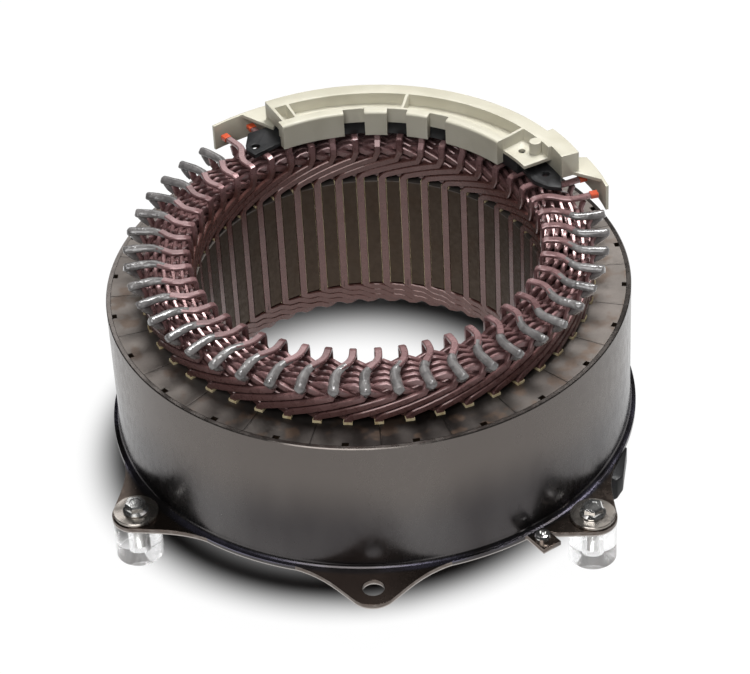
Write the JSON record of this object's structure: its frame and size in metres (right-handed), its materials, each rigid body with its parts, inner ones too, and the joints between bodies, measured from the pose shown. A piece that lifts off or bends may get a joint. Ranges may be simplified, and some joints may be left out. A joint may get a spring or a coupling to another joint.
{
  "type": "motor generator stator",
  "caption": "Ring-shaped stator: segmented laminated core in a pressed steel ring with ears, flat-wire winding with coated joints, terminal cover and clear feet.",
  "frame": {"origin": "centre of the rotor bore, at the middle of the laminated stack", "axes": "+Z along the bore towards the coated joints and the terminal cover, -Y towards the ear with the free hole in front, +Y towards the terminal cover"},
  "size_m": [0.2862, 0.336, 0.151],
  "materials": {
    "core_steel": "dull laminated steel, stained",
    "ring_steel": "semi-gloss gunmetal with heat tints",
    "liner_paper": "matt insulating paper",
    "enamelled_wire": "enamelled copper, satin",
    "joint_epoxy": "glossy dipped epoxy",
    "red_sleeve": "matt sleeve",
    "ivory_plastic": "satin moulded plastic",
    "black_plastic": "satin moulded plastic",
    "zinc_steel": "bright zinc",
    "washer_steel": "plated steel",
    "clear_acrylic": "clear cast acrylic"
  },
  "bodies": {
    "root": {"core_segment_01": "core_steel", "core_segment_02": "core_steel", "core_segment_03": "core_steel", "core_segment_04": "core_steel", "core_segment_05": "core_steel", "core_segment_06": "core_steel", "core_segment_07": "core_steel", "core_segment_08": "core_steel", "core_segment_09": "core_steel", "core_segment_10": "core_steel", "core_segment_11": "core_steel", "core_segment_12": "core_steel", "core_segment_13": "core_steel", "core_segment_14": "core_steel", "core_segment_15": "core_steel", "core_segment_16": "core_steel", "core_segment_17": "core_steel", "core_segment_18": "core_steel", "core_segment_19": "core_steel", "core_segment_20": "core_steel", "core_segment_21": "core_steel", "core_segment_22": "core_steel", "core_segment_23": "core_steel", "core_segment_24": "core_steel", "outer_ring": "ring_steel", "slot_liners": "liner_paper", "slot_conductors": "enamelled_wire", "inner_lead_ramps": "enamelled_wire", "outer_lead_ramps": "enamelled_wire", "bridge_wires": "enamelled_wire", "coated_joints": "joint_epoxy", "lead_sleeves": "red_sleeve", "terminal_cover": "ivory_plastic", "terminal_base": "black_plastic", "connector_housing": "black_plastic", "tab_screw": "zinc_steel", "clear_feet": "clear_acrylic", "mount_washers": "washer_steel", "mount_bolts": "zinc_steel", "crest_row_1": "enamelled_wire", "crest_row_2": "enamelled_wire", "crest_row_3": "enamelled_wire", "crest_row_4": "enamelled_wire", "crest_row_5": "enamelled_wire", "lower_crest_row_1": "enamelled_wire", "lower_crest_row_2": "enamelled_wire", "lower_crest_row_3": "enamelled_wire", "lower_crest_row_4": "enamelled_wire", "lower_crest_row_5": "enamelled_wire", "lower_crest_row_6": "enamelled_wire"}
  },
  "joints": []
}
